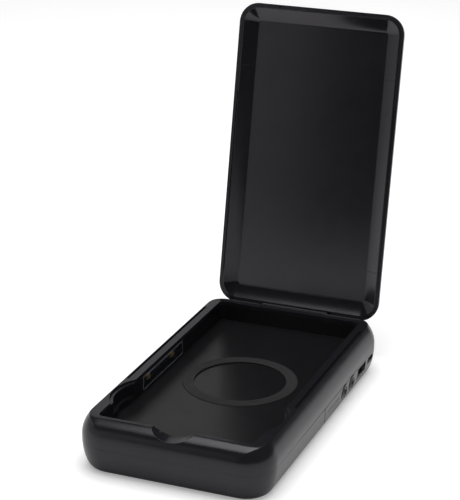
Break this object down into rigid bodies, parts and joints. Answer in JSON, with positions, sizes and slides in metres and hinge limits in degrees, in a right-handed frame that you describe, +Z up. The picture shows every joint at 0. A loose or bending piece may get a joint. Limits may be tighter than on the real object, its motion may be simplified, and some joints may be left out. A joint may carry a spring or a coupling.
{
  "type": "uv sanitizer box",
  "caption": "Flat sanitizer box with a hinged lid over a lamp-lit device bay, wireless charging floor, power bank, side buttons and sockets.",
  "frame": {"origin": "middle of the flat underside of the lower case", "axes": "+X to the right seen from the front end with the thumb notch, +Y towards the hinge, +Z up"},
  "size_m": [0.1015, 0.2206, 0.1885],
  "materials": {
    "case_plastic": "fine satin texture, charcoal",
    "tray_plastic": "satin, near black",
    "pad_rubber": "soft silicone",
    "coil_copper": "enamelled copper winding",
    "ferrite": "pressed ferrite sheet",
    "cell_foil": "dull laminated foil",
    "board_laminate": "solder resist",
    "lamp_laminate": "black solder resist",
    "screw_steel": "plated steel",
    "socket_steel": "nickel plated",
    "socket_white": "moulded insert, off-white",
    "socket_black": "moulded insert, black",
    "clear_plastic": "frosted light guide",
    "led_plastic": "small white packages",
    "button_plastic": "polished cap",
    "switch_plastic": "switch housing",
    "window_glass": "clear quartz-like plate",
    "emitter_gold": "gold plated ceramic package",
    "magnet_chrome": "nickel plated magnet",
    "liner_gloss": "high gloss, near black"
  },
  "bodies": {
    "base": {"lower_case": "case_plastic", "upper_case": "case_plastic", "device_tray": "tray_plastic", "charge_pad": "pad_rubber", "charging_coil": "coil_copper", "ferrite_sheet": "ferrite", "battery_cell": "cell_foil", "battery_tape": "pad_rubber", "main_board": "board_laminate", "board_screws": "screw_steel", "case_screws": "screw_steel", "usb_a_shell": "socket_steel", "usb_a_insert": "socket_white", "usb_c_shell": "socket_steel", "usb_c_insert": "socket_black", "light_guide": "clear_plastic", "status_leds": "led_plastic", "button_switches": "switch_plastic", "window_left": "window_glass", "window_right": "window_glass", "lamp_board_left": "lamp_laminate", "lamp_board_right": "lamp_laminate", "emitters_left": "emitter_gold", "emitters_right": "emitter_gold", "lid_sensor": "switch_plastic", "base_magnets": "magnet_chrome", "hinge_pin": "socket_steel"},
    "lid": {"lid_shell": "case_plastic", "lid_liner": "liner_gloss", "lid_magnets": "magnet_chrome"},
    "power_key": {"power_button": "button_plastic"},
    "lamp_key": {"lamp_button": "button_plastic"}
  },
  "joints": [
    {"name": "lid_hinge", "type": "hinge", "parent": "base", "child": "lid", "pos_m": [0, 0.0854, 0.02305], "axis": [1, 0, 0], "range_deg": [0, 101.3]},
    {"name": "power_press", "type": "slide", "parent": "base", "child": "power_key", "axis": [-1, 0, 0], "range_m": [0, 0.0005], "stiffness_N_per_m": 2000},
    {"name": "lamp_press", "type": "slide", "parent": "base", "child": "lamp_key", "axis": [-1, 0, 0], "range_m": [0, 0.0005], "stiffness_N_per_m": 2000}
  ]
}
